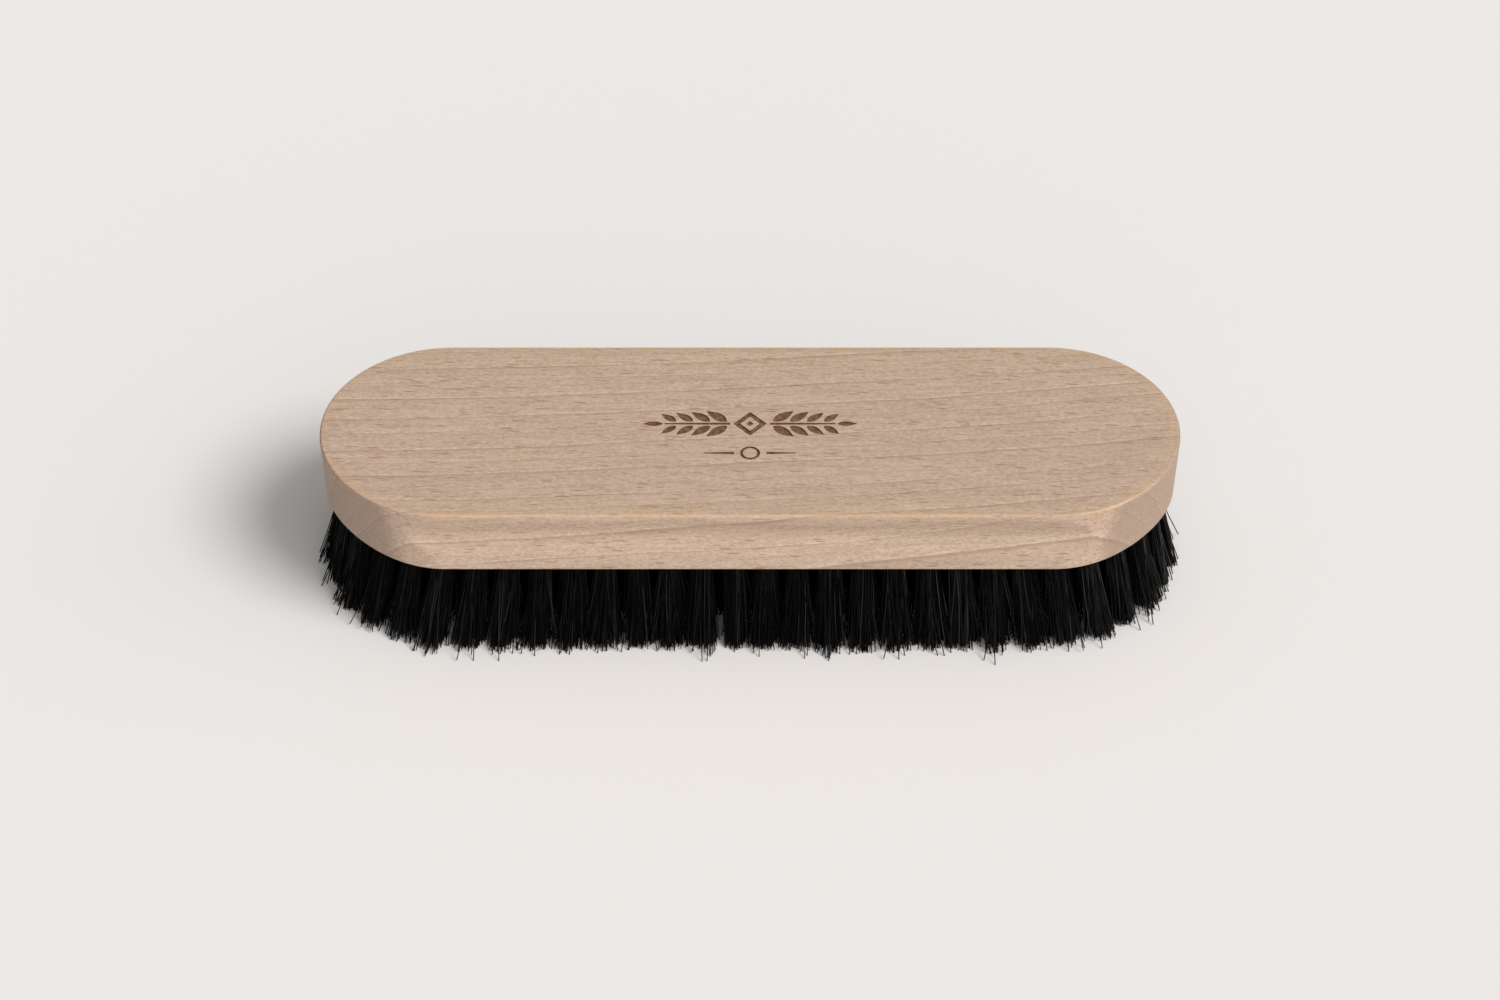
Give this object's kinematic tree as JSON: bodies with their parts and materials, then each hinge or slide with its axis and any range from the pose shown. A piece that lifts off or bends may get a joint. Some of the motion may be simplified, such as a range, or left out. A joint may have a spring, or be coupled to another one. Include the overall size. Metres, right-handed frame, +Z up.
{
  "type": "clothes brush",
  "caption": "Oval wooden clothes brush: flat beech block with a finger cove along each side and a dense bed of black horsehair tufts set in blind holes underneath.",
  "frame": {"origin": "on the plane of the hair tips, under the middle of the block", "axes": "+X along the block, +Y across it, +Z up from the hair tips to the flat top"},
  "size_m": [0.18, 0.054, 0.037],
  "materials": {
    "beech_block": "fine-sanded beech, thinly oiled",
    "horsehair": "black horsehair with a soft sheen",
    "anchor_wire": "drawn steel wire, flattened",
    "burnt_mark": "scorched beech in the engraved ornament"
  },
  "bodies": {
    "root": {"block": "beech_block", "end_tuft_left_01": "horsehair", "end_tuft_left_02": "horsehair", "end_tuft_left_03": "horsehair", "end_tuft_left_04": "horsehair", "end_tuft_left_05": "horsehair", "end_tuft_left_06": "horsehair", "end_tuft_left_07": "horsehair", "end_tuft_left_08": "horsehair", "end_tuft_left_09": "horsehair", "end_tuft_left_10": "horsehair", "end_tuft_left_11": "horsehair", "end_tuft_left_12": "horsehair", "end_tuft_left_13": "horsehair", "end_tuft_left_14": "horsehair", "end_tuft_left_15": "horsehair", "end_tuft_left_16": "horsehair", "end_tuft_left_17": "horsehair", "end_tuft_right_01": "horsehair", "end_tuft_right_02": "horsehair", "end_tuft_right_03": "horsehair", "end_tuft_right_04": "horsehair", "end_tuft_right_05": "horsehair", "end_tuft_right_06": "horsehair", "end_tuft_right_07": "horsehair", "end_tuft_right_08": "horsehair", "end_tuft_right_09": "horsehair", "end_tuft_right_10": "horsehair", "end_tuft_right_11": "horsehair", "end_tuft_right_12": "horsehair", "end_tuft_right_13": "horsehair", "end_tuft_right_14": "horsehair", "end_tuft_right_15": "horsehair", "end_tuft_right_16": "horsehair", "end_tuft_right_17": "horsehair", "tuft_row_01": "horsehair", "tuft_row_02": "horsehair", "tuft_row_03": "horsehair", "tuft_row_04": "horsehair", "tuft_row_05": "horsehair", "tuft_row_06": "horsehair", "tuft_row_07": "horsehair", "tuft_row_08": "horsehair", "tuft_row_09": "horsehair", "tuft_row_10": "horsehair", "tuft_row_11": "horsehair", "tuft_row_12": "horsehair", "tuft_row_13": "horsehair", "tuft_row_14": "horsehair", "tuft_row_15": "horsehair", "tuft_row_16": "horsehair", "tuft_row_17": "horsehair", "tuft_row_18": "horsehair", "tuft_row_19": "horsehair", "tuft_row_20": "horsehair"}
  },
  "joints": []
}
